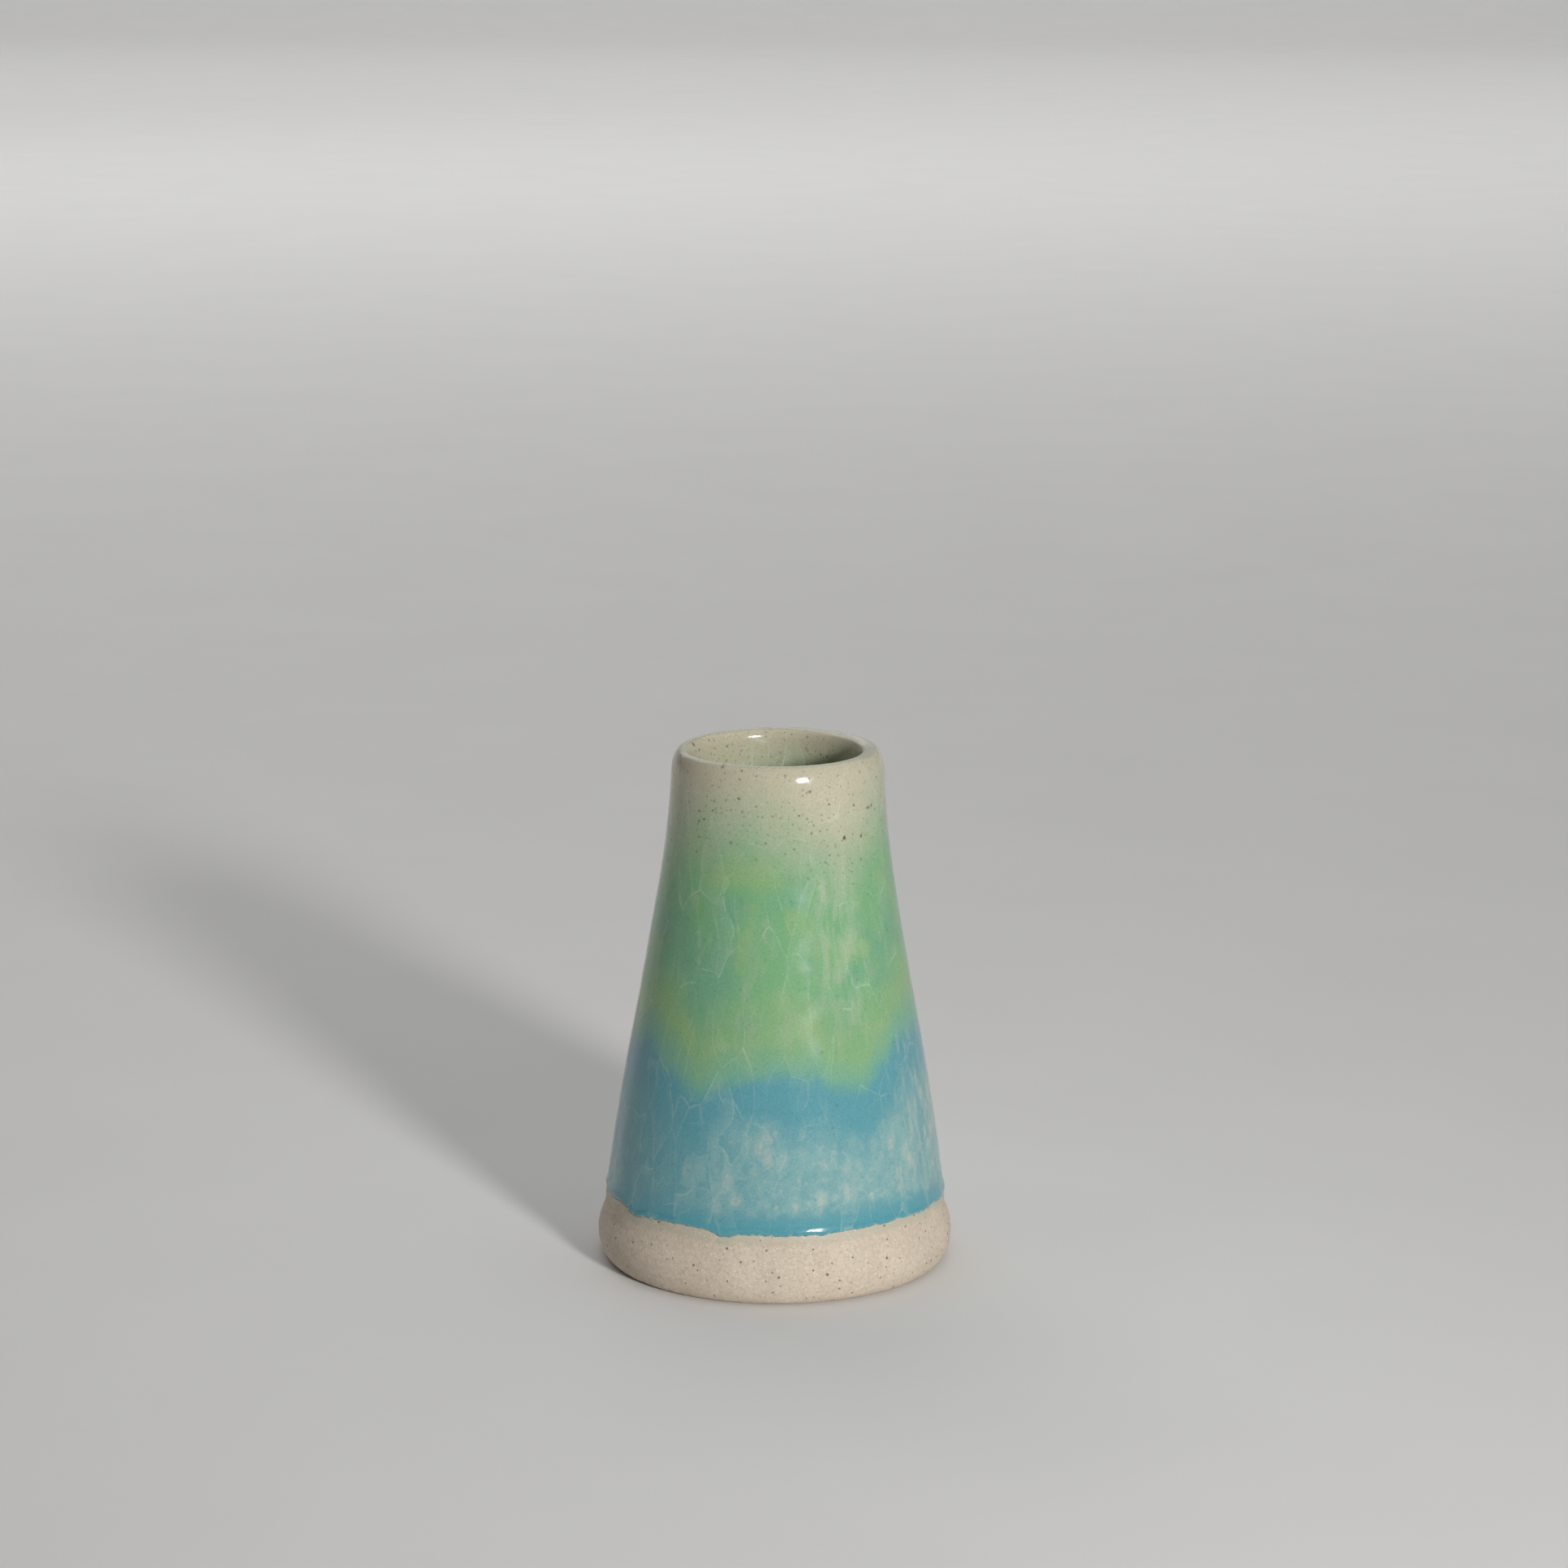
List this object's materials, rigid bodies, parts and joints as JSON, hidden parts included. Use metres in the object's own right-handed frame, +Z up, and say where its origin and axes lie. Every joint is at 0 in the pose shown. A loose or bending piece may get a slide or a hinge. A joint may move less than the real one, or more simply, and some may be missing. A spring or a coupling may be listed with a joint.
{
  "type": "bud vase",
  "caption": "Small thrown stoneware bud vase with a tapering glazed wall, a rounded lip, a flared bare clay foot and an open mouth for stems.",
  "frame": {"origin": "centre of the foot's standing ring, on the plane the vase stands on", "axes": "+Z up along the axis the vase was thrown around; the vase is round, so +X and +Y are free"},
  "size_m": [0.0682, 0.0682, 0.1],
  "materials": {
    "stoneware": "bare fired buff stoneware, matte and gritty",
    "liner_glaze": "glossy crackled cream-green glaze",
    "cream_glaze": "glossy crackled cream glaze with brown specks",
    "green_glaze": "glossy crackled green glaze",
    "blue_glaze": "glossy crackled blue glaze, mottled, pooled at its lower edge"
  },
  "bodies": {
    "root": {"stoneware_body": "stoneware", "liner_glaze": "liner_glaze", "rim_glaze": "cream_glaze", "green_glaze": "green_glaze", "blue_glaze": "blue_glaze"}
  },
  "joints": []
}
